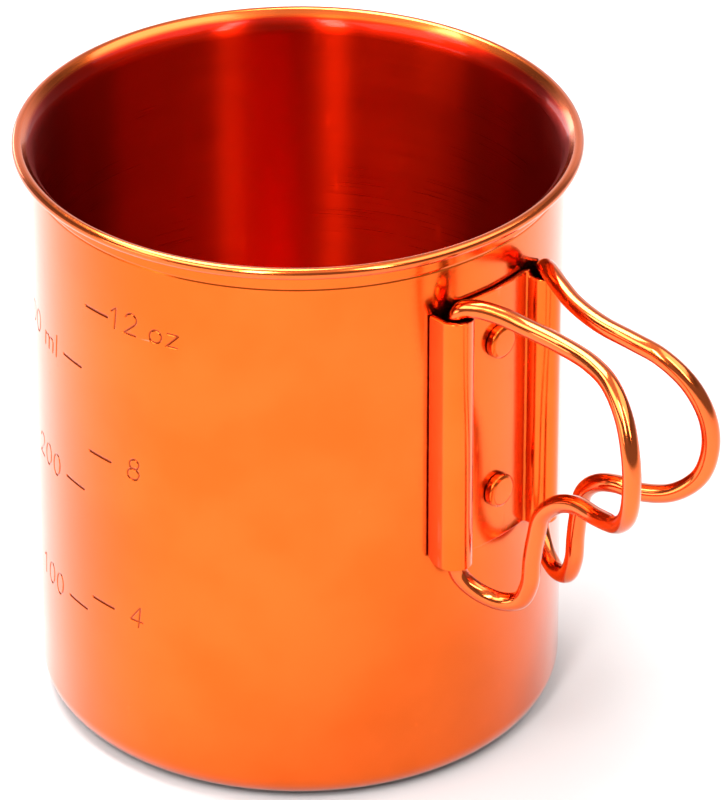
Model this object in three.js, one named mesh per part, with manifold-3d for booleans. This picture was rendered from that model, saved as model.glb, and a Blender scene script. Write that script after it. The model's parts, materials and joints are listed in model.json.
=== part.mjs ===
// Orange anodised aluminium camping cup with two spring-wire handles that fold round its wall.
// Units are millimetres and +Z is up. The origin is the centre of the base, on the table.
// The handles point along +X when open; the plane y = 0 runs midway between them.
import * as THREE from "three";
import { mergeVertices } from "three/addons/utils/BufferGeometryUtils.js";
import Module from "manifold-3d";

const wasm = await Module();
wasm.setup();

// ---------- driving dimensions ----------

// cup
const cupRadius = 39.8;          // outside of the straight wall
const cupHeight = 92.5;          // top of the rim
const wall = 0.8;                // sheet thickness of the drawn body
const baseCornerRadius = 4.5;    // outside corner between wall and base
const baseRise = 2.0;            // height of the stiffening ring pressed up into the base
const baseRingOuter = 31.0;      // outer edge of that ring, inner edge of the rim it stands on
const baseRingInner = 12.0;      // inner edge of that ring, edge of the flat middle
const baseSlope = 3.0;           // radial width of the ring's sloping sides
const beadRadius = 1.0;          // rolled rim, section radius
const beadOverhang = 2.6;        // how far the rolled rim stands out from the wall
const lipRadius = 1.2;           // rounding between the rim's crown and the inside wall
const creaseHeight = 88.05;      // fine rolled line under the rim
const creaseDepth = 0.2;
const creaseWidth = 0.5;

// bracket
const sheet = 0.8;               // bracket sheet thickness
const seatGap = 0.2;             // clearance between bracket sheet and cup wall
const bracketBottom = 39.5;
const bracketHeight = 42.5;
const barrelX = 41.0;            // hinge axis, distance out from the cup axis
const barrelY = 9.3;             // hinge axis, distance either side of the middle plane
const barrelRadius = 2.7;        // outside of each hinge barrel
const barrelDrop = 0.9;          // the barrels' top edge sits below the plate's, under the wire
const wireClearance = 0.2;       // from the plate's face to that lowered edge

// rivets
const rivetSpacing = 25.2;
const rivetHeadRadius = 2.6;
const rivetHeadHeight = 1.1;
const rivetInnerHeadHeight = 0.6;
const rivetShankRadius = 1.6;
const rivetEdge = 0.3;           // chamfer round each head
const rivetGap = 0.25;           // clearance round the shank and under both heads

// handles
const wireRadius = 1.4;
const bowRadius = 32.5;          // in plan each handle bows towards the middle plane
const bowMiddle = 17.5;          // distance out from the hinge where the bow is deepest

// ---------- mesh fineness ----------

const turnSegments = 72;         // round the cup
const cornerSegments = 5;        // round each quarter corner of the cup's profile
const barrelSegments = 10;       // round each half barrel
const plateSegments = 6;         // across the bracket's plate
const rivetSegments = 20;
const wireSides = 14;
const wireSteps = 92;
const cutMargin = 1;             // how far a cutting box reaches past the sheet
const holeReach = 5;             // how far a hole's cutter reaches either side of the wall

// ---------- helpers ----------

// Points of an arc, both ends included, angles in degrees.
function arcPoints(cx, cy, radius, from, to, segments) {
  const points = [];
  for (let i = 0; i <= segments; i += 1) {
    const angle = THREE.MathUtils.degToRad(from + ((to - from) * i) / segments);
    points.push([cx + radius * Math.cos(angle), cy + radius * Math.sin(angle)]);
  }
  return points;
}

function vectors(points) {
  return points.map(([x, y]) => new THREE.Vector2(x, y));
}

// Position-only copy of a geometry with its shared vertices merged.
function welded(geometry) {
  const bare = geometry.index ? geometry.toNonIndexed() : geometry.clone();
  bare.deleteAttribute("normal");
  bare.deleteAttribute("uv");
  return mergeVertices(bare, 1e-4);
}

function toSolid(geometry) {
  const closed = welded(geometry);
  return new wasm.Manifold(new wasm.Mesh({
    numProp: 3,
    vertProperties: new Float32Array(closed.attributes.position.array),
    triVerts: new Uint32Array(closed.index.array),
  }));
}

function toGeometry(solid) {
  const mesh = solid.getMesh();
  const geometry = new THREE.BufferGeometry();
  geometry.setAttribute("position", new THREE.BufferAttribute(mesh.vertProperties, 3));
  geometry.setIndex(new THREE.BufferAttribute(mesh.triVerts, 1));
  geometry.computeVertexNormals();
  return geometry;
}

function lathe(points, segments) {
  const geometry = new THREE.LatheGeometry(vectors(points), segments);
  geometry.rotateX(Math.PI / 2);
  return geometry;
}

// Cylinder lying along +X from x0 to x1, at y = 0 and height z.
function barAlongX(radius, x0, x1, z, segments) {
  const geometry = new THREE.CylinderGeometry(radius, radius, x1 - x0, segments);
  geometry.rotateZ(Math.PI / 2);
  geometry.translate((x0 + x1) / 2, 0, z);
  return geometry;
}

function boxBetween(low, high) {
  const size = high.map((value, i) => value - low[i]);
  const geometry = new THREE.BoxGeometry(...size);
  geometry.translate(...low.map((value, i) => value + size[i] / 2));
  return geometry;
}

function metal(color, roughness) {
  return new THREE.MeshStandardMaterial({ color, roughness, metalness: 1 });
}

// ---------- shared places ----------

const bracketTop = bracketBottom + bracketHeight;
const bracketMiddle = bracketBottom + bracketHeight / 2;
const rivetHeights = [bracketMiddle - rivetSpacing / 2, bracketMiddle + rivetSpacing / 2];
const plateInside = cupRadius + seatGap;
const plateOutside = plateInside + sheet;
const plateEnd = barrelY - barrelRadius;      // where the plate turns up into a barrel

// Clearance hole for a rivet through wall and bracket.
function rivetHole(z) {
  const radius = rivetShankRadius + rivetGap;
  return barAlongX(radius, cupRadius - holeReach, cupRadius + holeReach, z, rivetSegments);
}

// ---------- cup body ----------

// Half section of the cup, from the axis under the base, out and up the outside,
// over the rolled rim, and back down the inside to the axis.
function cupProfile() {
  const inside = cupRadius - wall;
  const cornerCentre = cupRadius - baseCornerRadius;
  const beadX = cupRadius + beadOverhang - beadRadius;
  const beadZ = cupHeight - beadRadius;
  const shift = wall / 3;        // keeps the sheet even across the sloping sides
  return [
    [0, 0],
    [baseRingInner, 0],
    [baseRingInner + baseSlope, baseRise],
    [baseRingOuter - baseSlope, baseRise],
    [baseRingOuter, 0],
    ...arcPoints(cornerCentre, baseCornerRadius, baseCornerRadius, -90, 0, cornerSegments),
    [cupRadius, creaseHeight - creaseWidth / 2],
    [cupRadius - creaseDepth, creaseHeight],
    [cupRadius, creaseHeight + creaseWidth / 2],
    [cupRadius, beadZ - beadRadius],
    ...arcPoints(beadX, beadZ, beadRadius, -130, 90, 2 * cornerSegments),
    ...arcPoints(inside + lipRadius, cupHeight - lipRadius, lipRadius, 90, 180, cornerSegments),
    ...arcPoints(cornerCentre, baseCornerRadius, baseCornerRadius - wall, 0, -90, cornerSegments),
    [baseRingOuter + shift, wall],
    [baseRingOuter - baseSlope + shift, baseRise + wall],
    [baseRingInner + baseSlope - shift, baseRise + wall],
    [baseRingInner - shift, wall],
    [0, wall],
  ];
}

function cupBody() {
  let body = toSolid(lathe(cupProfile(), turnSegments));
  for (const z of rivetHeights) {
    body = body.subtract(toSolid(rivetHole(z)));
  }
  const mesh = new THREE.Mesh(toGeometry(body), metal(0xff8430, 0.22));
  mesh.name = "cup_body";
  return mesh;
}

// ---------- bracket ----------

// Sheet outline seen from above: a plate bent to the wall, with a half-round barrel at each
// side whose outer leg turns back to the wall. Each barrel is open towards the cup.
function bracketOutline() {
  const round = (radius, y) => [Math.sqrt(radius * radius - y * y), y];
  const inner = barrelRadius - sheet;
  const cupSide = [
    round(plateInside, barrelY + barrelRadius),
    round(plateInside, barrelY + inner),
    ...arcPoints(barrelX, barrelY, inner, 90, -90, barrelSegments),
    round(plateInside, barrelY - inner),
  ];
  const outerSide = [
    ...arcPoints(barrelX, barrelY, barrelRadius, 90, -90, barrelSegments),
    round(plateOutside, plateEnd),
  ];
  const plateIn = [];
  const plateOut = [];
  for (let i = 1; i < plateSegments; i += 1) {
    const t = 1 - (2 * i) / plateSegments;
    plateIn.push(round(plateInside, (barrelY - inner) * t));
    plateOut.push(round(plateOutside, plateEnd * t));
  }
  const mirror = (points) => points.map(([x, y]) => [x, -y]).reverse();
  const cupFace = [...cupSide, ...plateIn, ...mirror(cupSide)];
  const outFace = [...outerSide, ...plateOut, ...mirror(outerSide)];
  return [...cupFace, ...outFace.reverse()];
}

// Box that lowers a barrel's top edge on one side, from a place (x, y) outwards.
function topEdgeCut(side, x, y) {
  const across = [side * y, side * (barrelY + barrelRadius + cutMargin)].sort((a, b) => a - b);
  return boxBetween(
    [x, across[0], bracketTop - barrelDrop],
    [barrelX + barrelRadius + cutMargin, across[1], bracketTop + cutMargin],
  );
}

function handleBracket() {
  const shape = new THREE.Shape(vectors(bracketOutline()));
  const geometry = new THREE.ExtrudeGeometry(shape, { depth: bracketHeight, bevelEnabled: false });
  geometry.translate(0, 0, bracketBottom);
  let bracket = toSolid(geometry);
  for (const side of [-1, 1]) {
    const roundPart = topEdgeCut(side, plateOutside - wireClearance, plateEnd - cutMargin);
    const outerLeg = topEdgeCut(side, plateInside - holeReach, barrelY);
    bracket = bracket.subtract(toSolid(roundPart)).subtract(toSolid(outerLeg));
  }
  for (const z of rivetHeights) {
    bracket = bracket.subtract(toSolid(rivetHole(z)));
  }
  const mesh = new THREE.Mesh(toGeometry(bracket), metal(0xff8a3c, 0.25));
  mesh.name = "handle_bracket";
  return mesh;
}

// ---------- rivets ----------

// A rivet turned about its own axis: pan head outside, shank, and formed head inside the cup.
function rivet(name, height) {
  const headSeat = plateOutside + rivetGap;
  const innerSeat = cupRadius - wall - rivetGap;
  const profile = [
    [0, innerSeat - rivetInnerHeadHeight],
    [rivetHeadRadius - rivetEdge, innerSeat - rivetInnerHeadHeight],
    [rivetHeadRadius, innerSeat - rivetInnerHeadHeight + rivetEdge],
    [rivetHeadRadius, innerSeat],
    [rivetShankRadius, innerSeat],
    [rivetShankRadius, headSeat],
    [rivetHeadRadius, headSeat],
    [rivetHeadRadius, headSeat + rivetHeadHeight - rivetEdge],
    [rivetHeadRadius - rivetEdge, headSeat + rivetHeadHeight],
    [0, headSeat + rivetHeadHeight],
  ];
  const geometry = new THREE.LatheGeometry(vectors(profile), rivetSegments);
  geometry.rotateZ(-Math.PI / 2);
  const mesh = new THREE.Mesh(welded(geometry), metal(0xff8c4a, 0.3));
  mesh.name = name;
  mesh.position.z = height;
  return mesh;
}

// ---------- wire handles ----------

// Side view of a handle's centre line as [distance out from the hinge, height].
// Both ends stand in the barrel; between them run the top arm, the finger bow,
// the notch for the lowest finger, the inner leg and the bottom turn.
const handleSideView = [
  [0, 72], [0, 76], [0, 80.2], [0.8, 82.2], [2.6, 82.7],
  [6, 82.3], [10, 81.4], [16, 80.6], [22, 80], [26.5, 78.8],
  [30.6, 75.5], [33.1, 70.6], [33.7, 65.5], [32.5, 60.5], [29, 57],
  [24, 55.5], [19.5, 55.3], [15.8, 53.9], [13, 51],
  [12, 47], [11.4, 43], [11, 38.5],
  [9.5, 35.3], [6.5, 34.2], [3.2, 35.1], [0.8, 37.4],
  [0, 40.4], [0, 44], [0, 49],
];

// How far the wire bows towards the middle plane at a distance out from the hinge.
function bow(out) {
  const chord = Math.sqrt(bowRadius ** 2 - bowMiddle ** 2);
  return Math.sqrt(bowRadius ** 2 - (out - bowMiddle) ** 2) - chord;
}

// side is -1 for the left handle and 1 for the right one.
function wireHandle(name, side) {
  const points = handleSideView.map(([out, z]) => new THREE.Vector3(out, -side * bow(out), z));
  const path = new THREE.CatmullRomCurve3(points, false, "centripetal");
  const section = new THREE.Shape();
  section.absarc(0, 0, wireRadius, 0, 2 * Math.PI, false);
  const geometry = new THREE.ExtrudeGeometry(section, {
    steps: wireSteps,
    curveSegments: wireSides / 2,   // a full circle gets two sides for each of these
    extrudePath: path,
  });
  const mesh = new THREE.Mesh(welded(geometry), metal(0xff9238, 0.2));
  mesh.name = name;
  mesh.position.set(barrelX, side * barrelY, 0);
  return mesh;
}

// ---------- assembly ----------

const cup = new THREE.Group();
cup.add(cupBody());
cup.add(handleBracket());
cup.add(rivet("lower_rivet", rivetHeights[0]));
cup.add(rivet("upper_rivet", rivetHeights[1]));
cup.add(wireHandle("left_handle", -1));
cup.add(wireHandle("right_handle", 1));

export default cup;
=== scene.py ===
# Looks for the orange anodised camping cup with folding wire handles.
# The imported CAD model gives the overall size, the places of bracket and rivets, and the hinge
# axes. This script builds the smooth visible pieces there, their materials and a plain studio.
# Shapes are worked out in millimetres and go into Blender in metres. +Z is up and the open
# handles point along +X.
import json
import math

import bmesh
import bpy
import numpy as np
from mathutils import Matrix, Vector
from mathutils.geometry import delaunay_2d_cdt


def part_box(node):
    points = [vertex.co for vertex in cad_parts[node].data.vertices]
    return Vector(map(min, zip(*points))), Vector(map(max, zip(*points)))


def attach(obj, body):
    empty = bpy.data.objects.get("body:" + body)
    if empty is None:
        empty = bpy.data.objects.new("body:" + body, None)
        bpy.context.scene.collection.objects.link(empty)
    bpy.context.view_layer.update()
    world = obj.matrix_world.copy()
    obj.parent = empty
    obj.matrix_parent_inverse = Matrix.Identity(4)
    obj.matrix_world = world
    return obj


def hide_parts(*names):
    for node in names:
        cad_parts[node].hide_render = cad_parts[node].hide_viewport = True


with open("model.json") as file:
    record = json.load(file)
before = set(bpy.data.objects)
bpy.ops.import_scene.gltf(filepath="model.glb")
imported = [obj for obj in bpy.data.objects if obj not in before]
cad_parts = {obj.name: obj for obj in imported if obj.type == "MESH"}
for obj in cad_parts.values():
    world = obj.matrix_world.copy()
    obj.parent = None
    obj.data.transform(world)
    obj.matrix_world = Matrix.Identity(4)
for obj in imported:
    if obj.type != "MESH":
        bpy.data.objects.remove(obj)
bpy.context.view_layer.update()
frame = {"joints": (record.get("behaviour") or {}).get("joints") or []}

MM = 0.001

# ---------- sizes taken from the CAD model, in millimetres ----------

cup_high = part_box("cup_body")[1] / MM
bracket_low, bracket_high = (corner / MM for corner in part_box("handle_bracket"))
rivet_boxes = {name: [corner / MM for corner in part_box(name)]
               for name in ("lower_rivet", "upper_rivet")}
right_hinge = next(joint["pos_m"] for joint in frame["joints"]
                   if joint["child"] == "right_handle")

# ---------- sizes of the drawn cup, in millimetres ----------

RIM_RADIUS = cup_high.x
CUP_HEIGHT = cup_high.z
RIM_OVERHANG = 2.6            # how far the rolled rim stands out from the wall
CUP_RADIUS = RIM_RADIUS - RIM_OVERHANG
WALL = 0.8                    # sheet thickness
INSIDE = CUP_RADIUS - WALL
ROLL_RADIUS = 0.87            # the rolled rim's section
ROLL_FOOT, ROLL_MOUTH = -150, 135   # degrees round the section where neck and mouth meet it
MOUTH_BEND = 3.5              # rounding where the inside wall flares out to the rim
NECK_BEND = 0.6               # the same bend on the outside, under the rim
NECK_ROOT = 0.08              # rounding where the neck meets the roll
NECK_STEP_BACK = 0.05         # the neck's slope ends this far inside the roll's foot
CREASE_HEIGHT = 88.05         # fine rolled line under the rim
CREASE_DEPTH = 0.08
CREASE_WIDTH = 0.5
CREASE_SHOULDER, CREASE_ROOT = 0.12, 0.06   # roundings at the line's edges and bottom
BASE_CORNER = 4.5             # outside corner between wall and base
BASE_RISE = 2.0               # stiffening ring pressed up into the base
BASE_RING_OUTER = 31.0
BASE_RING_INNER = 12.0
BASE_SLOPE = 3.0
BASE_BEND = 1.2               # roundings of the ring under the base
BASE_BEND_LOW, BASE_BEND_HIGH = 1.0, 1.4    # the same inside the cup

# ---------- sizes of the bracket, the rivets and the wire, in millimetres ----------

SHEET = 0.8                   # bracket sheet thickness
SEAT_GAP = 0.2                # between bracket sheet and cup wall
BARREL_X = right_hinge[0] / MM      # hinge axis, distance out from the cup axis
BARREL_Y = right_hinge[1] / MM      # hinge axis, distance either side of the middle plane
BARREL_RADIUS = 2.7
BARREL_DROP = 0.9             # the barrels' top edge sits this far below the plate's
DROP_START, DROP_RUN = 0.65, 0.35   # it starts down this far short of the axis, over this run
LEG_CORNER = 2.0              # rounding of each outer leg's lower corner
LEG_TIP_GAP = 0.05            # added to the seat gap at each leg's tip
BEND_RADIUS = 0.75            # middle of the sheet, where the plate turns into a barrel
EDGE_BREAK = 0.16             # rounding of the bracket's sharp edges
SHARP_EDGE = 50               # degrees; edges sharper than this are rounded
RIVET_HEIGHTS = [(low.z + high.z) / 2 for low, high in rivet_boxes.values()]
RIVET_HOLE = 1.85             # radius of the holes in bracket and wall
SHANK_GAP = 0.05              # between a rivet's shank and its hole
HEAD_GAP = 0.02               # under a rivet's two heads
HEAD_EDGE = 0.12              # rounding of a head's edge against the sheet
PAN_ROUND = 0.55              # rounding of the outer head's face
WIRE_RADIUS = 1.4
WIRE_END_ROUND = 0.35         # the cut ends' broken edge
BOW_RADIUS = 32.5             # in plan each handle bows towards the middle plane
BOW_MIDDLE = 17.5

# Side view of a handle's centre line as (distance out from the hinge, height): up out of the
# barrel, top arm, finger bow, notch for the lowest finger, inner leg, bottom turn, barrel.
SIDE_VIEW = [
    (0, 72), (0, 76), (0, 80.2), (0.8, 82.2), (2.6, 82.7),
    (6, 82.3), (10, 81.4), (16, 80.6), (22, 80), (26.5, 78.8),
    (30.6, 75.5), (33.1, 70.6), (33.7, 65.5), (32.5, 60.5), (29, 57),
    (24, 55.5), (19.5, 55.3), (15.8, 53.9), (13, 51),
    (12, 47), (11.4, 43), (11, 38.5),
    (9.5, 35.3), (6.5, 34.2), (3.2, 35.1), (0.8, 37.4),
    (0, 40.4), (0, 44), (0, 49),
]

# ---------- mesh fineness ----------

COLUMNS = 192                 # round the cup
ARC_STEP = 9.0                # degrees between points on a rounded corner
ROLL_STEP, BASE_CORNER_STEP, MOUTH_STEP = 7, 6, 5   # the same on these, and on the bracket's
BARREL_STEP, BEND_STEP, PLATE_STEP = 5, 12, 1.1
LEG_STEPS = 12
EDGE_STEPS = 3
STROKE_STEP = 0.2             # mm along a pressed stroke
STROKE_RINGS = (0.0, 0.35, 0.7, 1.0, 1.7)   # places across a stroke, in half widths
STROKE_FAN = 14               # points round a stroke's end
COARSE_GAP = 0.5              # mm; plain wall points keep this far from a mark or hole
SLOPE_REACH = 0.01            # mm; a mark's slope is measured over this
RIVET_SIDES = 48
BORE_SIDES, BORE_LENGTH = 40, 6      # of the tool that cuts the rivet holes
WIRE_SIDES = 28
WIRE_STEPS_PER_SPAN = 9
SAME_POINT = 1e-4             # mm; closer points on a profile or stroke are one
KEY_DECIMALS = 4              # vertices that agree to this many decimals of a mm are one
KEY_SHIFT = 2.3e-5            # mm; keeps points that fall on a rounding boundary together
PLAN_TOLERANCE = 1e-7         # mm, of the wall patches' triangulation
HOLE_FILL = 0.996             # faces whose middle is inside this part of a hole's radius go

# ---------- pressed graduations, places in degrees round the wall and mm up it ----------

DASH_WIDTH, DASH_DEPTH = 0.62, 0.14
FIGURE_WIDTH, FIGURE_DEPTH = 0.48, 0.13
STROKE_SPACING = FIGURE_WIDTH / 7       # the least distance between a mark's mesh points
INNER_WIDTH, INNER_DEPTH = 1.6, 0.6     # the marks stand out inside, wider and lower by these
BAND_LOW, BAND_HIGH = 18.0, 84.0        # the part of the wall that carries marks and rivets
MARK_MARGIN = 2               # degrees of fine wall past the marks at each side
SEAT_REACH = 5                # degrees of fine wall either side of the rivets
ML_DASH, OZ_DASH = (-105.9, -98.9), (-96.6, -89.7)      # from and to
ML_MARKS = {"100": (24.5, -109.3), "200": (45.4, -109.3), "300 ml": (66.3, -106.6)}  # up, end
OZ_MARKS = {"4": 27.5, "8": 52.9, "12 oz": 77.4}        # up
OZ_TEXT_START = -89.45
OZ_RISE = 0.45                # the ounce figures sit a little above their dashes
SINGLE_FIGURE_SHIFT = 4.4     # a lone figure stands under the second one of "12 oz"
ML_TEXT = {"height": 3.7, "advance": 3.45}
OZ_TEXT = {"height": 3.5, "advance": 2.85}
SPACE_SHARE = 0.5             # a space is this part of a figure's advance
LETTER_GAP = 0.9              # mm, the least gap after a character
SLANT = 0.12                  # sideways lean of the figures, per unit of height

# ---------- dyes, finishes and painted shade ---

DYE = (0.80, 0.125, 0.010)
# painted shade: the inside of the cup is painted this darker red
INSIDE_SHADE_COLOUR = (0.42, 0.008, 0.0006)
SEAM_SHADE_COLOUR = (0.22, 0.012, 0.0)       # painted shade: this darker colour is painted into seams and pressed marks, where shade falls
SEAM_REACH, SEAM_SAMPLES = 2.2, 6   # a seam is this many mm from a close neighbour
GROOVE_SHADE_SHARE = 0.75                # how much of the painted seam shade the pressed marks take
CLOUD_SCALE = 60.0                  # features per metre: cloudiness of the dye,
WEAR_SCALE = 300.0                  # breaks in the worn edges,
SPECK_SCALE = 2600.0                # and pores
SCUFF_SCALE = (900.0, 900.0, 140.0) # per metre along x, y and z: the scuffs run upright
TURNED_LINES = (1.2, 1.2, 6.0)      # grain scales: fine lines round the cup,
ROLLED_LINES = (5.0, 0.12, 1.0)     # up and down the bracket sheet,
HEADED_LINES = (1.5, 1.5, 6.0)      # round the rivets
DRAWN_LINES = (9.0, 9.0, 0.12)      # and along the wire
NOISE_MIDDLE = (0.3, 0.7)           # most of a noise's values lie in here
SCUFF_EDGE = (0.66, 0.72)           # noise values between which a scuff begins
WORN_CURVE = (0.56, 0.66)           # pointiness between which an edge counts as worn
WORN_BREAKS = (0.45, 0.6)           # noise values that break the worn edges up
WEAR = 0.25                         # how bare a worn edge gets
GROOVE_SHADE_EDGE = (0.15, 0.8)          # share of a mark's depth where its painted shade sets in
SHELTER = (0.25, 0.8)               # open share of the surroundings, from a seam to the open
LINE_ROUGHNESS = (-0.03, 0.04)      # these are added to a metal's roughness
CLOUD_ROUGHNESS = (-0.015, 0.02)
SCUFF_ROUGHNESS, WORN_ROUGHNESS = 0.06, 0.1
GRAIN_DEPTH = 0.0006                # mm
GRAIN_STRENGTH = 0.5
PORE_DEPTH, SCUFF_DEPTH = 0.25, 0.3 # of the working lines' depth
COAT = (0.15, 0.6)                  # weight of the clear skin, face on and at a glance
GLANCE = (0.25, 0.8)                # how far a face turns away between the two
COAT_IOR = 1.45
COAT_ROUGHNESS = 0.1
WIRE_COAT, WIRE_COAT_IOR = (0.3, 0.7), 1.8
POLISHED = (90.6, 91.0)             # mm up: between these the rim's polish sets in
POLISH_COAT, POLISH_IOR = 0.22, 0.45
FLARE = (89.9, 91.9)                # mm up: between these the inside widens to the mouth
FLARE_WIDTH = 1.5
INSIDE_SHADE_END = (91.3, 92.0)        # mm up: between these the painted inside shade gives way
INNER_ROUGHNESS = 0.14              # added inside, where the metal is brushed round
BRUSH_TURN = 0.25                   # a quarter turn puts the streaks upright

# ---------- studio ----------

FLOOR_GREY, FLOOR_ROUGHNESS, FLOOR_SHEEN = 0.47, 0.9, 0.1
FLOOR_RADIUS = 6.0                  # metres
FLOOR_SIDES = 96
FLOOR_DROP = 0.0002                 # metres below the base
LAMP_TARGET = Vector((0, 0, 0.05))  # metres, the middle of the cup

# name: (azimuth, elevation, metres from the cup, (width, height) in metres, radiance)
SOFTBOXES = {
    "overhead": (-92, 69, 0.9, (0.5, 0.5), 19.0),
    "streak_left": (27, 42, 0.9, (0.12, 0.5), 32.0),
    "streak_right": (78, 42, 0.9, (0.09, 0.5), 24.0),
    "fill_front": (-6, 42, 0.9, (0.5, 0.4), 6.5),
    "fill_right": (122, 54, 0.9, (0.8, 0.5), 3.4),
    "key_left": (-37, 48, 0.9, (0.2, 0.2), 12.0),
    "panel_left": (-20, 8, 0.7, (0.3, 0.15), 5.0),
    "panel_back_left": (-97, 10, 0.7, (0.3, 0.15), 3.0),
}

# The world's light against the sine of the height: dim up to DIM_TOP, darkest at DARK_AT, then
# a ceiling that brightens up to CEILING_AT. A white backdrop stands behind the cup.
DIM_TOP, DARK_AT, CEILING_AT = 0.3, 0.45, 0.85
DIM_LIGHT, DARK_LIGHT, CEILING_LIGHT = 0.3, 0.14, 0.76
BACKDROP_SIDES = (0.5, 0.85)        # cosines from the middle of the backdrop
BACKDROP_TOP = (0.45, 0.65)         # sines of the height where it fades

CAMERA_AZIMUTH, CAMERA_ELEVATION = 44.0, 30.15
CAMERA_DISTANCE = 963.7             # mm
CAMERA_TARGET = (7.04, 6.80, 46.76) # mm
CAMERA_LENS, CAMERA_SENSOR = 286.2, 36.0
CAMERA_CLIP = 20.0                  # metres
GLOSSY_BOUNCES = 10


# ---------- small geometry helpers ----------

def arc(cx, cy, rx, ry, start, end, step=ARC_STEP):
    """Points on an arc of an ellipse, from one angle to the other in degrees."""
    count = max(2, math.ceil(abs(end - start) / step))
    angles = [math.radians(start + (end - start) * i / count) for i in range(count + 1)]
    return [(cx + rx * math.cos(a), cy + ry * math.sin(a)) for a in angles]


def unit(vector):
    return vector / np.linalg.norm(vector)


def rounded(corners, step=ARC_STEP):
    """Outline through corners given as (x, y, rounding radius)."""
    points = []
    for i, (x, y, radius) in enumerate(corners):
        here = np.array([x, y], float)
        if radius <= 0 or i in (0, len(corners) - 1):
            points.append((x, y))
            continue
        before = unit(np.array(corners[i - 1][:2], float) - here)
        after = unit(np.array(corners[i + 1][:2], float) - here)
        half = math.acos(np.clip(before @ after, -1, 1)) / 2
        centre = here + unit(before + after) * radius / math.sin(half)
        start = here + before * radius / math.tan(half) - centre
        end = here + after * radius / math.tan(half) - centre
        start_angle = math.degrees(math.atan2(start[1], start[0]))
        turn = (math.degrees(math.atan2(end[1], end[0])) - start_angle + 180) % 360 - 180
        points += arc(*centre, radius, radius, start_angle, start_angle + turn, step)
    return points


def distinct(points):
    """The points without those that repeat the one before."""
    return [p for i, p in enumerate(points) if i == 0 or math.dist(p, points[i - 1]) > SAME_POINT]


def travelled(points):
    """Length of the path up to each of its points."""
    return np.concatenate([[0], np.cumsum(np.linalg.norm(np.diff(points, axis=0), axis=1))])


def outline_normals(points):
    """Unit normals to the right of each point's direction of travel."""
    p = np.array(points, float)
    step = np.diff(p, axis=0)
    step /= np.linalg.norm(step, axis=1)[:, None]
    along = np.vstack([step[:1], step[1:] + step[:-1], step[-1:]])
    along /= np.linalg.norm(along, axis=1)[:, None]
    return np.stack([along[:, 1], -along[:, 0]], 1)


class Skin:
    """Collects vertices, each with its normal, grain place and shade (how deep a pressed mark is
    there, which sets its painted shade), and their faces.
    """

    def __init__(self):
        self.points, self.normals, self.grain, self.shade, self.faces = [], [], [], [], []
        self.known = {}

    def vertex(self, point, normal, grain=(0, 0, 0), shade=0.0):
        """The number of the vertex at a point, added if it is new."""
        key = tuple(round(float(c) + KEY_SHIFT, KEY_DECIMALS) for c in point)
        if key not in self.known:
            self.known[key] = len(self.points)
            self.points.append([float(c) for c in point])
            self.normals.append([float(c) for c in normal])
            self.grain.append([float(c) for c in grain])
            self.shade.append(float(shade))
        return self.known[key]

    def face(self, *corners):
        """Adds a face, leaving out repeated corners."""
        ring = [c for i, c in enumerate(corners) if c != corners[i - 1]]
        if len(set(ring)) >= 3:
            self.faces.append(ring)

    def bridge(self, rings):
        """Joins each ring of vertices to the next with a closed band of faces."""
        for one, two in zip(rings[:-1], rings[1:]):
            for i in range(len(one)):
                j = (i + 1) % len(one)
                self.face(one[i], one[j], two[j], two[i])

    def piece(self, name):
        """The finished object, in metres."""
        mesh = bpy.data.meshes.new(name)
        mesh.from_pydata([[c * MM for c in p] for p in self.points], [], self.faces)
        mesh.polygons.foreach_set("use_smooth", [True] * len(mesh.polygons))
        grain = mesh.attributes.new("grain", "FLOAT_VECTOR", "POINT")
        grain.data.foreach_set("vector", np.array(self.grain, np.float32).ravel())
        shade = mesh.attributes.new("shade", "FLOAT", "POINT")
        shade.data.foreach_set("value", self.shade)
        mesh.validate()
        mesh.normals_split_custom_set_from_vertices(self.normals)
        return add_object(name, mesh)


def add_object(name, data):
    piece = bpy.data.objects.new(name, data)
    bpy.context.scene.collection.objects.link(piece)
    return piece


def mesh_data(name, source):
    """The bmesh as mesh data of that name; the bmesh is freed."""
    data = bpy.data.meshes.new(name)
    source.to_mesh(data)
    source.free()
    return data


# ---------- figures on the wall ----------

def glyph(character):
    """(strokes, width) of a character; strokes are polylines in a cell one unit high."""
    top = 0.6                 # height of small letters
    shapes = {
        "0": ([arc(0.31, 0.5, 0.31, 0.5, 0, 360)], 0.62),
        "1": ([[(0.1, 0.78), (0.34, 1.0), (0.34, 0.0)]], 0.62),
        "2": ([arc(0.3, 0.71, 0.29, 0.29, 165, -35) + [(0.0, 0.0), (0.62, 0.0)]], 0.62),
        "3": ([arc(0.29, 0.74, 0.27, 0.26, 150, -90)
               + arc(0.29, 0.25, 0.31, 0.25, 80, -150)], 0.62),
        "4": ([[(0.66, 0.27), (0.0, 0.27), (0.46, 1.0), (0.46, 0.0)]], 0.66),
        "8": ([arc(0.31, 0.76, 0.25, 0.24, 0, 360), arc(0.31, 0.27, 0.31, 0.27, 0, 360)], 0.62),
        "m": ([[(0.0, 0.0), (0.0, top)],
               arc(0.21, top - 0.2, 0.21, 0.2, 170, 0) + [(0.42, 0.0)],
               arc(0.63, top - 0.2, 0.21, 0.2, 170, 0) + [(0.84, 0.0)]], 0.84),
        "l": ([[(0.1, 1.0), (0.1, 0.0)]], 0.2),
        "o": ([arc(0.3, top / 2, 0.29, top / 2, 0, 360)], 0.6),
        "z": ([[(0.0, top), (0.52, top), (0.0, 0.0), (0.52, 0.0)]], 0.52),
    }
    return shapes[character]


def around(degrees):
    """Millimetres round the wall's outside at an angle."""
    return math.radians(degrees) * CUP_RADIUS


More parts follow.
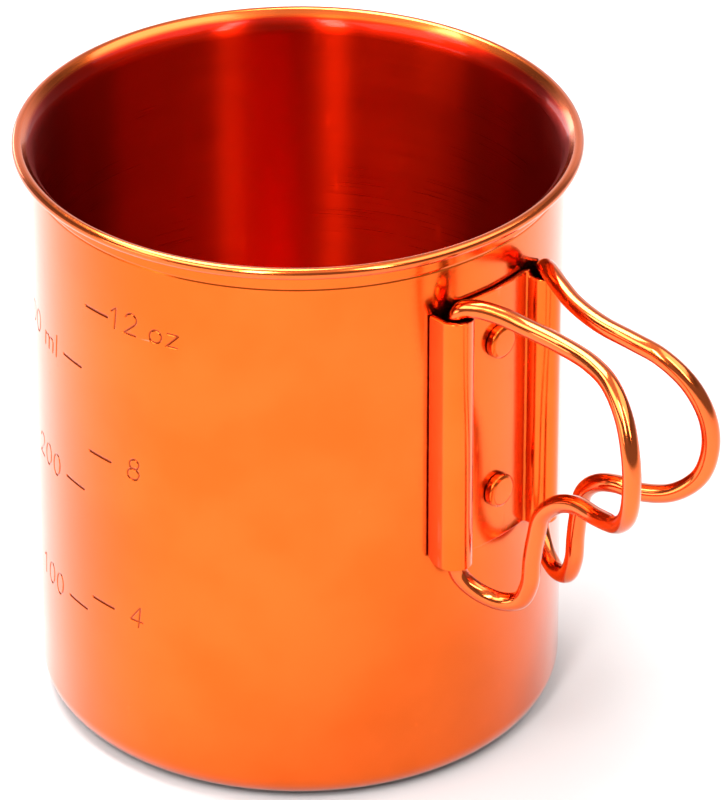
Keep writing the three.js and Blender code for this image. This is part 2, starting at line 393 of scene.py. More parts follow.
def text_strokes(text, style, middle, start=None, end=None):
    """Strokes of a text as (mm round the wall, mm up it), from its start or up to its end."""
    height, advance = style["height"], style["advance"]
    strokes, x = [], 0.0
    for character in text:
        if character == " ":
            x += advance * SPACE_SHARE
            continue
        lines, width = glyph(character)
        strokes += [[(x + height * (px + SLANT * py), height * py) for px, py in line]
                    for line in lines]
        x += max(advance, height * width + LETTER_GAP)
    shift = around(start) if end is None else around(end) - (x - LETTER_GAP)
    return [[(px + shift, py + middle - height / 2) for px, py in line] for line in strokes]


def graduation_strokes():
    """Every mark on the wall, as (polyline, width, depth)."""
    dashes, figures = [], []
    for text, (z, text_end) in ML_MARKS.items():
        dashes.append([(around(a), z) for a in ML_DASH])
        figures += text_strokes(text, ML_TEXT, z, end=text_end)
    for text, z in OZ_MARKS.items():
        shift = 0 if " " in text else SINGLE_FIGURE_SHIFT
        dashes.append([(around(a), z) for a in OZ_DASH])
        figures += text_strokes(text, OZ_TEXT, z + OZ_RISE, start=OZ_TEXT_START + shift)
    return ([(np.array(line, float), DASH_WIDTH, DASH_DEPTH) for line in dashes]
            + [(np.array(line, float), FIGURE_WIDTH, FIGURE_DEPTH) for line in figures])


def stroke_samples(line, half):
    """Mesh points that a stroke needs: rows along both sides of it, and fans round its ends."""
    samples = []
    for a, b in zip(line[:-1], line[1:]):
        length = np.linalg.norm(b - a)
        if length < SAME_POINT:
            continue
        side = np.array([a[1] - b[1], b[0] - a[0]]) / length * half
        count = max(1, round(length / STROKE_STEP))
        for i in range(count + 1):
            place = a + (b - a) * i / count
            samples += [place + side * ring * sign for ring in STROKE_RINGS for sign in (1, -1)]
    for end in (line[0], line[-1]):
        for ring in STROKE_RINGS[1:]:
            for turn in np.linspace(0, 2 * math.pi, STROKE_FAN, endpoint=False):
                samples.append(end + half * ring * np.array([math.cos(turn), math.sin(turn)]))
    return [tuple(p) for p in samples]


def pressed_depth(points, strokes, widen, deepen):
    """How deep the marks are pressed at each (around, up) point."""
    pressed = np.zeros(len(points))
    for line, width, depth in strokes:
        half = width * widen / 2
        low, high = line.min(0) - half, line.max(0) + half
        near = np.flatnonzero(((points > low) & (points < high)).all(1))
        nearest = np.full(len(near), half)
        for a, b in zip(line[:-1], line[1:]):
            ab = b - a
            t = np.clip((points[near] - a) @ ab / max(ab @ ab, 1e-12), 0, 1)
            gap = np.linalg.norm(points[near] - a - t[:, None] * ab, axis=1)
            nearest = np.minimum(nearest, gap)
        down = depth * deepen * (0.5 + 0.5 * np.cos(math.pi * nearest / half))
        pressed[near] = np.maximum(pressed[near], down)
    return pressed


# ---------- cup body ----------

def base_outline(lift, widen, low_bend, high_bend):
    """Half section of one side of the base, from the axis out to where its corner starts."""
    return rounded([
        (0, lift, 0),
        (BASE_RING_INNER - widen, lift, low_bend),
        (BASE_RING_INNER + BASE_SLOPE - widen, lift + BASE_RISE, high_bend),
        (BASE_RING_OUTER - BASE_SLOPE + widen, lift + BASE_RISE, high_bend),
        (BASE_RING_OUTER + widen, lift, low_bend),
        (CUP_RADIUS - BASE_CORNER, lift, 0),
    ])


def base_corner(radius):
    """The corner between base and wall, from the base up."""
    return arc(CUP_RADIUS - BASE_CORNER, BASE_CORNER, radius, radius, -90, 0, BASE_CORNER_STEP)


def crease_outline():
    """The fine line rolled round the wall under the rim."""
    return rounded([
        (CUP_RADIUS, CREASE_HEIGHT - CREASE_WIDTH, 0),
        (CUP_RADIUS, CREASE_HEIGHT - CREASE_WIDTH / 2, CREASE_SHOULDER),
        (CUP_RADIUS - CREASE_DEPTH, CREASE_HEIGHT, CREASE_ROOT),
        (CUP_RADIUS, CREASE_HEIGHT + CREASE_WIDTH / 2, CREASE_SHOULDER),
        (CUP_RADIUS, CREASE_HEIGHT + CREASE_WIDTH, 0),
    ])


def cup_profile():
    """Half section: under the base, up the outside, over the rim, down the inside to the axis."""
    roll = arc(RIM_RADIUS - ROLL_RADIUS, CUP_HEIGHT - ROLL_RADIUS, ROLL_RADIUS, ROLL_RADIUS,
               ROLL_FOOT, ROLL_MOUTH, ROLL_STEP)
    foot, mouth = roll[0], roll[-1]
    mouth_corner = mouth[1] - (mouth[0] - INSIDE)     # the flare slopes at 45 degrees
    neck_corner = mouth_corner - WALL * (math.sqrt(2) - 1)
    neck_run = foot[0] - CUP_RADIUS - NECK_STEP_BACK
    neck = rounded([
        (CUP_RADIUS, neck_corner - NECK_BEND, 0),
        (CUP_RADIUS, neck_corner, NECK_BEND),
        (CUP_RADIUS + neck_run, neck_corner + neck_run, NECK_ROOT),
        (*foot, 0),
    ])
    flare = rounded([
        (*mouth, 0),
        (INSIDE, mouth_corner, MOUTH_BEND),
        (INSIDE, mouth_corner - MOUTH_BEND, 0),
    ], MOUTH_STEP)
    outside = base_outline(0, 0, BASE_BEND, BASE_BEND) + base_corner(BASE_CORNER)
    outside += [(CUP_RADIUS, BAND_LOW), (CUP_RADIUS, BAND_HIGH)] + crease_outline() + neck
    floor = base_outline(WALL, WALL / 3, BASE_BEND_LOW, BASE_BEND_HIGH)
    inside = [(INSIDE, BAND_HIGH), (INSIDE, BAND_LOW)]
    inside += base_corner(BASE_CORNER - WALL)[::-1] + floor[::-1]
    return distinct(outside + roll[1:] + flare[1:] + inside)


def column_angle(column):
    return 2 * math.pi * column / COLUMNS


def patch_columns(start, end):
    """First and last column that cover the angles from start to end, in degrees."""
    return math.floor(start / 360 * COLUMNS), math.ceil(end / 360 * COLUMNS)


def thinned(points, spacing):
    """The points, in order, leaving out those closer than the spacing to one already kept."""
    cells, kept = {}, []
    for x, y in points:
        cell = (math.floor(x / spacing), math.floor(y / spacing))
        close = [q for dx in (-1, 0, 1) for dy in (-1, 0, 1)
                 for q in cells.get((cell[0] + dx, cell[1] + dy), ())]
        if all((x - q[0]) ** 2 + (y - q[1]) ** 2 >= spacing ** 2 for q in close):
            cells.setdefault(cell, []).append((x, y))
            kept.append((x, y))
    return kept


def patch_points(columns, strokes, holes, radius):
    """Points (around at the outside radius, up) that a wall patch needs, and its hole rims."""
    edge = [around(math.degrees(column_angle(c))) for c in range(columns[0], columns[1] + 1)]
    border = [(x, z) for z in (BAND_LOW, BAND_HIGH) for x in edge]
    fine = [p for line, width, _ in strokes for p in stroke_samples(line, width / 2)]
    kept = thinned(fine, STROKE_SPACING)
    circle = arc(0, 0, RIVET_HOLE, RIVET_HOLE, 0, 360)[:-1]
    rims = [[(CUP_RADIUS * math.asin(y / radius), z + dz) for y, dz in circle] for z in holes]
    rows = round((BAND_HIGH - BAND_LOW) / (2 * (edge[1] - edge[0])))
    coarse = [(x, BAND_LOW + (BAND_HIGH - BAND_LOW) * row / rows)
              for x in edge[1:-1] for row in range(1, rows)]
    cloud = np.array(kept + [p for rim in rims for p in rim])
    coarse = [p for p in coarse if ((cloud - p) ** 2).sum(1).min() > COARSE_GAP ** 2]
    coarse = [p for p in coarse if all(math.hypot(p[0], p[1] - z) > RIVET_HOLE for z in holes)]
    return border, kept + coarse, rims


def patch_plan(columns, strokes, holes, radius):
    """Triangulates a wall patch laid flat. Gives its points, its faces and its hole rims."""
    border, loose, rims = patch_points(columns, strokes, holes, radius)
    places, edges = border + loose, []
    for rim in rims:
        first = len(places)
        places += rim
        edges += [(first + i, first + (i + 1) % len(rim)) for i in range(len(rim))]
    flat, _, faces, *_ = delaunay_2d_cdt([Vector(p) for p in places], edges, [], 0,
                                        PLAN_TOLERANCE)
    return np.array([tuple(p) for p in flat]), faces, rims


def wall_patch(skin, columns, strokes, holes, radius, facing, widen=1, deepen=1):
    """Adds one patch of wall with its marks pressed in, and gives its hole rims.

    facing is 1 outside and -1 inside."""
    flat, faces, rims = patch_plan(columns, strokes, holes, radius)
    steps = ((0, 0), (SLOPE_REACH, 0), (-SLOPE_REACH, 0), (0, SLOPE_REACH), (0, -SLOPE_REACH))
    press = [pressed_depth(flat + step, strokes, widen, deepen) for step in steps]
    slopes_around = (press[1] - press[2]) / (2 * SLOPE_REACH)
    slopes_up = (press[3] - press[4]) / (2 * SLOPE_REACH)
    numbers = []
    for (x, z), down, slope_around, slope_up in zip(flat, press[0], slopes_around, slopes_up):
        angle = x / CUP_RADIUS
        out = np.array([math.cos(angle), math.sin(angle), 0])
        side = np.array([-math.sin(angle), math.cos(angle), 0])
        normal = facing * (out + slope_around * side + slope_up * np.array([0, 0, 1]))
        point = out * (radius - down) + np.array([0, 0, z])
        # The shade attribute is the share of a dash's depth pressed in here; it sets the painted
        # shade in the grooves.
        numbers.append(skin.vertex(point, unit(normal), (math.cos(angle), math.sin(angle), z),
                                   down / DASH_DEPTH))
    for a, b, c in faces:
        middle = (flat[a] + flat[b] + flat[c]) / 3
        aside = radius * math.sin(middle[0] / CUP_RADIUS)
        if any(math.hypot(aside, middle[1] - z) < RIVET_HOLE * HOLE_FILL for z in holes):
            continue
        ring = [numbers[a], numbers[b], numbers[c]]
        skin.face(*(ring if facing > 0 else ring[::-1]))
    return [[skin.vertex((math.cos(x / CUP_RADIUS) * radius, math.sin(x / CUP_RADIUS) * radius, z),
                         (facing, 0, 0)) for x, z in rim] for rim in rims]


def lathe_rings(skin, profile):
    """One ring of vertices round the cup's axis for each point of the profile."""
    rings = []
    for (r, z), (normal_r, normal_z) in zip(profile, outline_normals(profile)):
        ring = []
        for column in range(COLUMNS):
            c, s = math.cos(column_angle(column)), math.sin(column_angle(column))
            normal = (normal_r * c, normal_r * s, normal_z)
            if r < SAME_POINT:
                normal = (0, 0, math.copysign(1, normal_z))
            ring.append(skin.vertex((r * c, r * s, z), normal, (c, s, z + (r if normal_z else 0))))
        rings.append(ring)
    return rings


def cup_shell():
    """The drawn cup: a lathed sheet, with fine patches of wall for marks and rivets."""
    skin = Skin()
    profile = cup_profile()
    rings = lathe_rings(skin, profile)
    strokes = graduation_strokes()
    first = math.degrees(min(line[:, 0].min() for line, _, _ in strokes) / CUP_RADIUS)
    last = math.degrees(max(line[:, 0].max() for line, _, _ in strokes) / CUP_RADIUS)
    marks = patch_columns(first - MARK_MARGIN, last + MARK_MARGIN)
    seat = patch_columns(-SEAT_REACH, SEAT_REACH)
    patched = {c % COLUMNS for start, end in (marks, seat) for c in range(start, end)}
    for k in range(len(profile) - 1):
        band = {profile[k][1], profile[k + 1][1]} == {BAND_LOW, BAND_HIGH}
        for column in range(COLUMNS):
            if band and column in patched:
                continue
            following = (column + 1) % COLUMNS
            skin.face(rings[k][column], rings[k][following],
                      rings[k + 1][following], rings[k + 1][column])
    for columns, lines, holes in ((marks, strokes, []), (seat, [], RIVET_HEIGHTS)):
        outer = wall_patch(skin, columns, lines, holes, CUP_RADIUS, facing=1)
        inner = wall_patch(skin, columns, lines, holes, INSIDE, -1, INNER_WIDTH, INNER_DEPTH)
        for rims in zip(outer, inner):
            skin.bridge(rims)
    return skin.piece("cup_shell")


# ---------- bracket ----------

def seat_x(y):
    """How far out the bracket's seat lies, at a distance y from the middle plane."""
    return math.sqrt((CUP_RADIUS + SEAT_GAP) ** 2 - y ** 2)


def bracket_path():
    """Middle of the sheet seen from above, from one outer leg's end to the other's."""
    half = SHEET / 2
    plate = CUP_RADIUS + SEAT_GAP + half
    radius = BARREL_RADIUS - half
    leg_y, turn_y = BARREL_Y + radius, BARREL_Y - radius
    leg_end = seat_x(leg_y + half) + LEG_TIP_GAP
    leg = [(leg_end + (BARREL_X - leg_end) * i / LEG_STEPS, leg_y) for i in range(LEG_STEPS)]
    barrel = arc(BARREL_X, BARREL_Y, radius, radius, 90, -90, BARREL_STEP)
    corner_x = math.sqrt(plate ** 2 - turn_y ** 2)
    slope = math.degrees(math.asin(turn_y / plate))
    flat = arc(0, 0, plate, plate, slope - 2 * PLATE_STEP, 0, PLATE_STEP)
    bend = rounded([(*barrel[-1], 0), (corner_x, turn_y, BEND_RADIUS), (*flat[0], 0)], BEND_STEP)
    one_side = leg + barrel + bend[1:] + flat[1:]
    return one_side + [(x, -y) for x, y in one_side[-2::-1]]


def bracket_heights(x, y):
    """Lower and upper edge of the sheet at a place on its path."""
    low, high = bracket_low.z, bracket_high.z
    if abs(y) > BARREL_Y:
        along = min(max(x - seat_x(BARREL_Y + BARREL_RADIUS), 0.0), LEG_CORNER)
        low += LEG_CORNER - math.sqrt(LEG_CORNER ** 2 - (LEG_CORNER - along) ** 2)
        return low, high - BARREL_DROP
    t = min(max((x - BARREL_X + DROP_START) / DROP_RUN, 0.0), 1.0)
    return low, high - BARREL_DROP * t * t * (3 - 2 * t)


def hinge_bracket():
    """The pressed sheet: plate, two barrels and two legs, with its edges broken and holes bored."""
    path = bracket_path()
    mesh = bmesh.new()
    grain = mesh.verts.layers.float_vector.new("grain")
    rows = []
    for (x, y), normal, length in zip(path, outline_normals(path), travelled(path)):
        low, high = bracket_heights(x, y)
        row = []
        for side, z in ((1, low), (1, high), (-1, high), (-1, low)):
            px, py = np.array([x, y]) + normal * side * SHEET / 2
            vertex = mesh.verts.new((px * MM, py * MM, z * MM))
            vertex[grain] = (length, z, side)
            row.append(vertex)
        rows.append(row)
    for one, two in zip(rows[:-1], rows[1:]):
        for i in range(len(one)):
            j = (i + 1) % len(one)
            mesh.faces.new((one[i], one[j], two[j], two[i]))
    mesh.faces.new(rows[0][::-1])
    mesh.faces.new(rows[-1])
    bmesh.ops.recalc_face_normals(mesh, faces=mesh.faces)
    sharp = [e for e in mesh.edges if e.calc_face_angle(0) > math.radians(SHARP_EDGE)]
    bmesh.ops.bevel(mesh, geom=sharp, offset=EDGE_BREAK * MM, segments=EDGE_STEPS, profile=0.5,
                    affect="EDGES")
    data = mesh_data("hinge_bracket", mesh)
    data.polygons.foreach_set("use_smooth", [True] * len(data.polygons))
    piece = add_object("hinge_bracket", data)
    for z in RIVET_HEIGHTS:
        bore(piece, z)
    weighted = piece.modifiers.new("weighted_normals", "WEIGHTED_NORMAL")
    weighted.keep_sharp = True
    return piece


def bore(piece, z):
    """Cuts a rivet's hole along +X through a piece at height z."""
    cutter = bmesh.new()
    bmesh.ops.create_cone(cutter, cap_ends=True, segments=BORE_SIDES, radius1=RIVET_HOLE * MM,
                          radius2=RIVET_HOLE * MM, depth=BORE_LENGTH * MM)
    bmesh.ops.rotate(cutter, verts=cutter.verts, matrix=Matrix.Rotation(math.pi / 2, 3, "Y"))
    bmesh.ops.translate(cutter, verts=cutter.verts, vec=(CUP_RADIUS * MM, 0, z * MM))
    tool = add_object("cutter", mesh_data("cutter", cutter))
    cut = piece.modifiers.new("bore", "BOOLEAN")
    cut.operation = "DIFFERENCE"
    cut.solver = "EXACT"
    cut.object = tool
    result = bpy.data.meshes.new_from_object(
        piece.evaluated_get(bpy.context.evaluated_depsgraph_get()))
    piece.modifiers.clear()
    piece.data = result
    bpy.data.objects.remove(tool)


# ---------- rivets ----------

def rivet(name, box):
    """A rivet turned about its own axis: formed head inside the wall, pan head on the plate."""
    low, high = box
    z = (low.z + high.z) / 2
    head = (high.z - low.z) / 2
    outer_seat = CUP_RADIUS + SEAT_GAP + SHEET + HEAD_GAP
    inner_seat = math.sqrt(INSIDE ** 2 - head ** 2) - HEAD_GAP
    shank = RIVET_HOLE - SHANK_GAP
    profile = distinct(rounded([
        (low.x, 0, 0),
        (low.x + 0.05, head * 0.75, 0.8),
        (low.x + 0.2, head - 0.1, 0.3),
        (inner_seat, head, HEAD_EDGE),
        (inner_seat, shank, 0),
        (outer_seat, shank, 0),
        (outer_seat, head, HEAD_EDGE),
        (high.x - 0.3, head, 0.3),
        (high.x, head - PAN_ROUND, PAN_ROUND),
        (high.x, 0, 0),
    ]))
    skin, rings = Skin(), []
    for (x, r), (normal_x, normal_r) in zip(profile, -outline_normals(profile)):
        ring = []
        for i in range(RIVET_SIDES):
            a = 2 * math.pi * i / RIVET_SIDES
            c, s = math.cos(a), math.sin(a)
            normal = (normal_x, normal_r * c, normal_r * s)
            if r < SAME_POINT:
                normal = (math.copysign(1, normal_x), 0, 0)
            ring.append(skin.vertex((x, r * c, z + r * s), normal, (c, s, x + r)))
        rings.append(ring)
    skin.bridge(rings)
    return skin.piece(name)


# ---------- wire handles ----------

def bow(out):
    """How far a handle bows towards the middle plane, that far out from its hinge."""
    chord = math.sqrt(BOW_RADIUS ** 2 - BOW_MIDDLE ** 2)
    return math.sqrt(BOW_RADIUS ** 2 - (out - BOW_MIDDLE) ** 2) - chord


def smooth_path(points, steps):
    """Centripetal Catmull-Rom curve through the points."""
    p = [2 * points[0] - points[1], *points, 2 * points[-1] - points[-2]]
    path = []
    for i in range(1, len(p) - 2):
        knots = [0.0]
        for a, b in zip(p[i - 1:i + 2], p[i:i + 3]):
            knots.append(knots[-1] + math.sqrt(np.linalg.norm(b - a)))
        t0, t1, t2, t3 = knots
        for t in np.linspace(t1, t2, steps, endpoint=False):
            a1 = (t1 - t) / (t1 - t0) * p[i - 1] + (t - t0) / (t1 - t0) * p[i]
            a2 = (t2 - t) / (t2 - t1) * p[i] + (t - t1) / (t2 - t1) * p[i + 1]
            a3 = (t3 - t) / (t3 - t2) * p[i + 1] + (t - t2) / (t3 - t2) * p[i + 2]
            b1 = (t2 - t) / (t2 - t0) * a1 + (t - t0) / (t2 - t0) * a2
            b2 = (t3 - t) / (t3 - t1) * a2 + (t - t1) / (t3 - t1) * a3
            path.append((t2 - t) / (t2 - t1) * b1 + (t - t1) / (t2 - t1) * b2)
    return np.array(path + [points[-1]])


def square_to(forward, across):
    """The direction nearest to across that is square to forward."""
    return unit(across - forward * (across @ forward))


def wire_ring(skin, place, forward, across, radius, lean, distance):
    """A ring of vertices round the wire; lean turns their normals towards forward."""
    up = np.cross(forward, across)
    ring = []
    for i in range(WIRE_SIDES):
        a = 2 * math.pi * i / WIRE_SIDES
        out = math.cos(a) * across + math.sin(a) * up
        normal = out * math.cos(lean) + forward * math.sin(lean)
        ring.append(skin.vertex(place + out * radius, normal, (math.cos(a), math.sin(a), distance)))
    return ring


def end_rings(skin, place, forward, sign, distance):
    """Rings of a wire's cut end, with its edge broken, growing away from the wire's last ring."""
    across = square_to(forward, np.array([1.0, 0, 0]))
    rings = []
    for degrees in (30, 60, 90):
        a = math.radians(degrees)
        radius = WIRE_RADIUS - WIRE_END_ROUND * (1 - math.cos(a))
        step = forward * sign * WIRE_END_ROUND * math.sin(a)
        rings.append(wire_ring(skin, place + step, forward, across, radius, sign * a, distance))
    tip = skin.vertex(place + forward * sign * WIRE_END_ROUND, forward * sign, (0, 0, distance))
    return rings + [[tip] * WIRE_SIDES]


def wire_handle(name, side):
    """One handle, as a tube along its centre line. side is 1 at +Y and -1 at -Y."""
    points = [np.array([BARREL_X + out, side * (BARREL_Y - bow(out)), z]) for out, z in SIDE_VIEW]
    path = smooth_path(points, WIRE_STEPS_PER_SPAN)
    ahead = np.gradient(path, axis=0)
    ahead /= np.linalg.norm(ahead, axis=1)[:, None]
    distances = travelled(path)
    skin, rings = Skin(), []
    across = np.array([1.0, 0, 0])
    for place, forward, distance in zip(path, ahead, distances):
        across = square_to(forward, across)
        rings.append(wire_ring(skin, place, forward, across, WIRE_RADIUS, 0, distance))
    first = end_rings(skin, path[0], ahead[0], -1, distances[0])
    last = end_rings(skin, path[-1], ahead[-1], 1, distances[-1])
    skin.bridge(first[::-1] + rings + last)
    return skin.piece(name)


# ---------- materials ----------

class Nodes:
    """A node tree with short calls for the nodes that the materials share."""

    def __init__(self, tree):
        self.tree = tree
        tree.nodes.clear()

    def add(self, kind, **values):
        node = self.tree.nodes.new(kind)
        for key, value in values.items():
            setattr(node, key, value)
        return node

    def link(self, source, target):
        self.tree.links.new(source, target)

    def put(self, socket, value):
        """Links a value that is a socket, or sets a plain one."""
        if isinstance(value, bpy.types.NodeSocket):
            self.link(value, socket)
        else:
            socket.default_value = value

    def math(self, operation, *values):
        node = self.add("ShaderNodeMath", operation=operation)
        for socket, value in zip(node.inputs, values):
            self.put(socket, value)
        return node.outputs[0]

    def noise(self, vector, scale, detail, roughness):
        node = self.add("ShaderNodeTexNoise")
        self.put(node.inputs["Vector"], vector)
        node.inputs["Scale"].default_value = scale
        node.inputs["Detail"].default_value = detail
        node.inputs["Roughness"].default_value = roughness
        return node.outputs["Fac"]

    def scaled(self, vector, scale):
        node = self.add("ShaderNodeVectorMath", operation="MULTIPLY")
        self.put(node.inputs[0], vector)
        node.inputs[1].default_value = scale
        return node.outputs[0]

    def ramp(self, value, low, high, to_low=0.0, to_high=1.0):
        """to_low where the value is at most low, to_high from high up, and smooth between."""
        node = self.add("ShaderNodeMapRange", interpolation_type="SMOOTHSTEP")
        for socket, v in zip(node.inputs, (value, low, high, to_low, to_high)):
            self.put(socket, v)
        return node.outputs[0]

    def mix(self, factor, a, b):
        node = self.add("ShaderNodeMix", data_type="RGBA")
        self.put(node.inputs["Factor"], factor)
        self.put(node.inputs[6], a)
        self.put(node.inputs[7], b)
        return node.outputs[2]

    def attribute(self, name, output):
        return self.add("ShaderNodeAttribute", attribute_name=name).outputs[output]

    def height_of(self, vector):
        split = self.add("ShaderNodeSeparateXYZ")
        self.link(vector, split.inputs[0])
        return split.outputs["Z"]


def blank_material(name):
    """A new material, its nodes and its shader."""
    material = bpy.data.materials.new(name)
    material.use_nodes = True
    n = Nodes(material.node_tree)
    out = n.add("ShaderNodeOutputMaterial")
    shader = n.add("ShaderNodeBsdfPrincipled")
    n.link(shader.outputs[0], out.inputs[0])
    return material, n, shader


def worn_edges(n, place):
    """1 on edges whose dye has rubbed off, in broken patches."""
    edges = n.ramp(n.add("ShaderNodeNewGeometry").outputs["Pointiness"], *WORN_CURVE)
    breaks = n.ramp(n.noise(place, WEAR_SCALE, 4.0, 0.6), *WORN_BREAKS)
    return n.math("MULTIPLY", edges, breaks)


def seams(n):
    """1 where a surface faces a close neighbour, and 0 in the open: where painted shade goes into
    seams.
    """
    shelter = n.add("ShaderNodeAmbientOcclusion", samples=SEAM_SAMPLES)
    shelter.inputs["Distance"].default_value = SEAM_REACH * MM
    return n.ramp(shelter.outputs["AO"], *SHELTER, 1.0, 0.0)


def inside_mask(n, place):
    """1 on the cup's inside, nearer the axis than the sheet's middle, and 0 outside."""
    height = n.height_of(place)
    distance = n.add("ShaderNodeVectorMath", operation="LENGTH")
    n.link(n.scaled(place, (1.0, 1.0, 0.0)), distance.inputs[0])
    flare = n.ramp(height, FLARE[0] * MM, FLARE[1] * MM, 0.0, FLARE_WIDTH * MM)
    reach = n.math("ADD", flare, (INSIDE + WALL / 2) * MM)
    inside = n.math("LESS_THAN", distance.outputs["Value"], reach)
    above = n.math("GREATER_THAN", height, BASE_CORNER * MM)
    below = n.ramp(height, INSIDE_SHADE_END[0] * MM, INSIDE_SHADE_END[1] * MM, 1.0, 0.0)
    return n.math("MULTIPLY", n.math("MULTIPLY", inside, above), below)


def tinted(gain, lift=0.0):
    """The outside dye's colour, scaled by the gain and paled by the lift."""
    return tuple(min(1.0, c * gain + lift) for c in DYE) + (1.0,)


def dye_and_painted_shade(n, cloud, worn):
    """The dye, cloudy and thin on worn edges, with painted shade in seams and pressed marks."""
    deep, light, bare = tinted(0.93), tinted(1.05, 0.004), tinted(0.6, 0.36)
    dye_and_shade = n.mix(n.ramp(cloud, *NOISE_MIDDLE), deep, light)
    # Painted shade: the pressed marks are coloured darker by their depth.
    pressed = n.ramp(n.attribute("shade", "Fac"), *GROOVE_SHADE_EDGE, 0.0, GROOVE_SHADE_SHARE)
    # Painted shade: seams, found by ambient occlusion, get the darker seam colour.
    dye_and_shade = n.mix(n.math("MAXIMUM", pressed, seams(n)), dye_and_shade, (*SEAM_SHADE_COLOUR, 1.0))
    return n.mix(n.math("MULTIPLY", worn, WEAR), dye_and_shade, bare)


def grain_bump(n, lines, specks, scuffs):
    """The working lines with pores, rubbed down in the scuffs."""
    height = n.math("ADD", lines, n.math("MULTIPLY", specks, PORE_DEPTH))
    height = n.math("SUBTRACT", height, n.math("MULTIPLY", scuffs, SCUFF_DEPTH))
    bump = n.add("ShaderNodeBump")
    n.put(bump.inputs["Height"], height)
    n.put(bump.inputs["Strength"], GRAIN_STRENGTH)
    n.put(bump.inputs["Distance"], GRAIN_DEPTH * MM)
    return bump.outputs[0]


def anodised(name, grain_scale, roughness, coat=COAT, coat_ior=COAT_IOR, shaded_inside_polished_rim=False):
    """Dyed anodised aluminium: a clear hard skin over coloured metal with fine working lines.

    The cup's piece has painted shade on its brushed inside, which is painted a darker red, and a
    rim polished by rolling."""
    material, n, shader = blank_material(name)
    place = n.add("ShaderNodeTexCoord").outputs["Object"]
    lines = n.noise(n.scaled(n.attribute("grain", "Vector"), grain_scale), 1.0, 4.0, 0.65)
    cloud = n.noise(place, CLOUD_SCALE, 3.0, 0.5)
    specks = n.noise(place, SPECK_SCALE, 2.0, 0.6)
    scuffs = n.ramp(n.noise(n.scaled(place, SCUFF_SCALE), 1.0, 2.0, 0.55), *SCUFF_EDGE)
    worn = worn_edges(n, place)

    colour = dye_and_painted_shade(n, cloud, worn)
    rough = n.math("ADD", roughness, n.ramp(lines, *NOISE_MIDDLE, *LINE_ROUGHNESS))
    rough = n.math("ADD", rough, n.ramp(cloud, *NOISE_MIDDLE, *CLOUD_ROUGHNESS))
    rough = n.math("ADD", rough, n.math("MULTIPLY", scuffs, SCUFF_ROUGHNESS))
    rough = n.math("ADD", rough, n.math("MULTIPLY", worn, WORN_ROUGHNESS))
    facing = n.add("ShaderNodeLayerWeight").outputs["Facing"]
    coat_weight = n.ramp(facing, *GLANCE, *coat)
    if shaded_inside_polished_rim:
        turned = inside_mask(n, place)
        # Painted shade: the inside of the cup is painted a darker red.
        colour = n.mix(turned, colour, (*INSIDE_SHADE_COLOUR, 1.0))
        rough = n.math("ADD", rough, n.math("MULTIPLY", turned, INNER_ROUGHNESS))
        brush_round(n, shader, turned)
        polished = n.ramp(n.height_of(place), POLISHED[0] * MM, POLISHED[1] * MM)
        polished = n.math("MULTIPLY", polished, n.math("SUBTRACT", 1.0, turned))
        coat_ior = n.math("ADD", coat_ior, n.math("MULTIPLY", polished, POLISH_IOR))
        coat_weight = n.math("MAXIMUM", coat_weight, n.math("MULTIPLY", polished, POLISH_COAT))

    n.put(shader.inputs["Base Color"], colour)
    n.put(shader.inputs["Metallic"], 1.0)
    n.put(shader.inputs["Roughness"], rough)
    n.put(shader.inputs["Coat Weight"], coat_weight)
    n.put(shader.inputs["Coat IOR"], coat_ior)
    n.put(shader.inputs["Coat Roughness"], COAT_ROUGHNESS)
    n.put(shader.inputs["Normal"], grain_bump(n, lines, specks, scuffs))
    return material


def brush_round(n, shader, amount):
    """Stretches the reflections as brushing round the cup's axis does."""
    around_axis = n.add("ShaderNodeTangent", direction_type="RADIAL", axis="Z")
    n.put(shader.inputs["Anisotropic"], amount)
    n.put(shader.inputs["Anisotropic Rotation"], BRUSH_TURN)
    n.put(shader.inputs["Tangent"], around_axis.outputs[0])


def floor_material():
    material, n, shader = blank_material("studio_floor")
    n.put(shader.inputs["Base Color"], (FLOOR_GREY, FLOOR_GREY, FLOOR_GREY, 1.0))
    n.put(shader.inputs["Roughness"], FLOOR_ROUGHNESS)
    n.put(shader.inputs["Specular IOR Level"], FLOOR_SHEEN)
    return material


# ---------- studio ----------

def view_direction(azimuth, elevation):
    """From the cup towards a place at that azimuth and elevation, in degrees."""
    a, e = math.radians(azimuth), math.radians(elevation)
    return Vector((math.sin(a) * math.cos(e), -math.cos(a) * math.cos(e), math.sin(e)))


def aim(thing, back):
    """Turns a light or camera to look along the opposite of the direction back."""
    thing.rotation_mode = "QUATERNION"
    thing.rotation_quaternion = back.to_track_quat("Z", "Y")


def studio_floor():
    mesh = bmesh.new()
    bmesh.ops.create_circle(mesh, cap_ends=True, segments=FLOOR_SIDES, radius=FLOOR_RADIUS)
    floor = add_object("studio_floor", mesh_data("studio_floor", mesh))
    floor.location.z = -FLOOR_DROP
    floor.data.materials.append(floor_material())


def softbox(name, azimuth, elevation, distance, size, radiance):
    """A soft rectangular light that faces the cup. Its radiance is what a mirror would show."""
    light = bpy.data.lights.new(name, "AREA")
    light.shape = "RECTANGLE"
    light.size, light.size_y = size
    light.energy = radiance * math.pi * size[0] * size[1]
    lamp = add_object(name, light)
    towards = view_direction(azimuth, elevation)
    lamp.location = LAMP_TARGET + towards * distance
    lamp.visible_camera = False
    aim(lamp, towards)


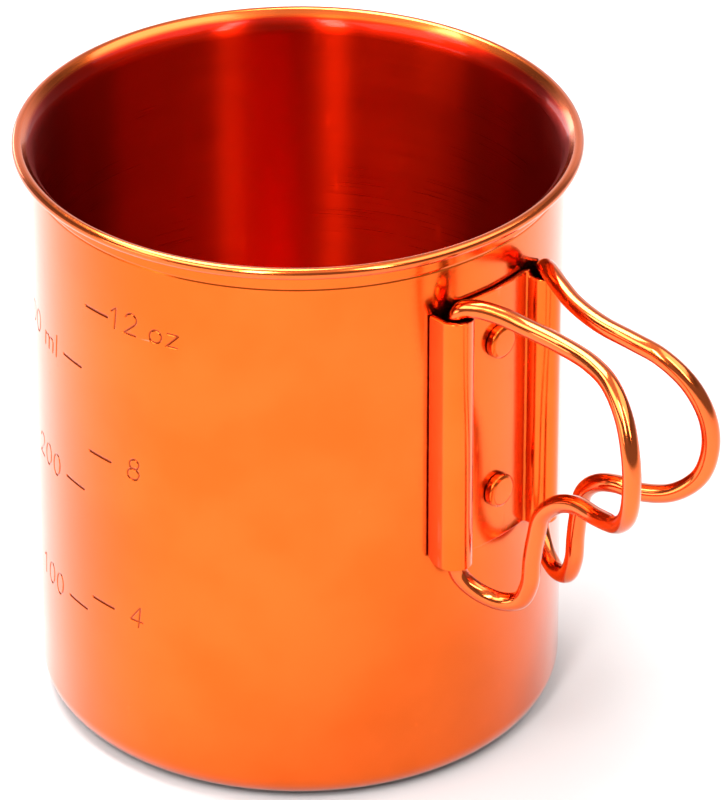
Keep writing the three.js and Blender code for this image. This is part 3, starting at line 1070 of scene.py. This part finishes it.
def studio_world():
    """Light from all round, seen by the metal; the camera itself sees plain white."""
    world = bpy.data.worlds.new("studio_world")
    bpy.context.scene.world = world
    world.use_nodes = True
    n = Nodes(world.node_tree)
    background = n.add("ShaderNodeBackground")
    n.link(background.outputs[0], n.add("ShaderNodeOutputWorld").inputs[0])
    direction = n.add("ShaderNodeTexCoord").outputs["Generated"]
    height = n.height_of(direction)
    dim_band = n.ramp(height, DIM_TOP, DARK_AT, DIM_LIGHT, DARK_LIGHT)
    ceiling = n.ramp(height, DARK_AT, CEILING_AT, 0.0, CEILING_LIGHT)
    behind = n.add("ShaderNodeVectorMath", operation="DOT_PRODUCT")
    n.link(direction, behind.inputs[0])
    behind.inputs[1].default_value = view_direction(CAMERA_AZIMUTH + 180.0, 0.0)
    backdrop = n.math("MULTIPLY", n.ramp(behind.outputs["Value"], *BACKDROP_SIDES),
                      n.ramp(height, *BACKDROP_TOP, 1.0, 0.0))
    lit = n.math("MAXIMUM", n.math("ADD", dim_band, ceiling), backdrop)
    seen = n.add("ShaderNodeLightPath").outputs["Is Camera Ray"]
    n.put(background.inputs["Color"], (1.0, 1.0, 1.0, 1.0))
    n.put(background.inputs["Strength"], n.math("MAXIMUM", lit, seen))


def studio_camera():
    """The camera looks at the cup with the open handles coming forward on the right."""
    camera = bpy.data.cameras.new("studio_camera")
    camera.lens = CAMERA_LENS
    camera.sensor_width = CAMERA_SENSOR
    camera.clip_end = CAMERA_CLIP
    eye = add_object("studio_camera", camera)
    back = view_direction(CAMERA_AZIMUTH, CAMERA_ELEVATION)
    eye.location = Vector(CAMERA_TARGET) * MM + back * CAMERA_DISTANCE * MM
    aim(eye, back)
    bpy.context.scene.camera = eye


# ---------- assembly ----------

metals = {
    "cup": anodised("anodised_cup", TURNED_LINES, 0.17, shaded_inside_polished_rim=True),
    "bracket": anodised("anodised_bracket", ROLLED_LINES, 0.18),
    "rivet": anodised("anodised_rivet", HEADED_LINES, 0.22),
    "wire": anodised("anodised_wire", DRAWN_LINES, 0.13, WIRE_COAT, WIRE_COAT_IOR),
}


def place_piece(piece, body, node, slot):
    """Gives a piece its metal and puts it on its body, in place of its CAD node."""
    piece.data.materials.append(metals[slot])
    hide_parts(node)
    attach(piece, body)


place_piece(cup_shell(), "cup", "cup_body", "cup")
place_piece(hinge_bracket(), "cup", "handle_bracket", "bracket")
place_piece(rivet("rivet_lower", rivet_boxes["lower_rivet"]), "cup", "lower_rivet", "rivet")
place_piece(rivet("rivet_upper", rivet_boxes["upper_rivet"]), "cup", "upper_rivet", "rivet")
place_piece(wire_handle("wire_handle_left", -1), "left_handle", "left_handle", "wire")
place_piece(wire_handle("wire_handle_right", 1), "right_handle", "right_handle", "wire")

studio_floor()
studio_world()
for lamp_name, setting in SOFTBOXES.items():
    softbox(lamp_name, *setting)
studio_camera()
bpy.context.scene.view_settings.view_transform = "Standard"
bpy.context.scene.cycles.glossy_bounces = GLOSSY_BOUNCES
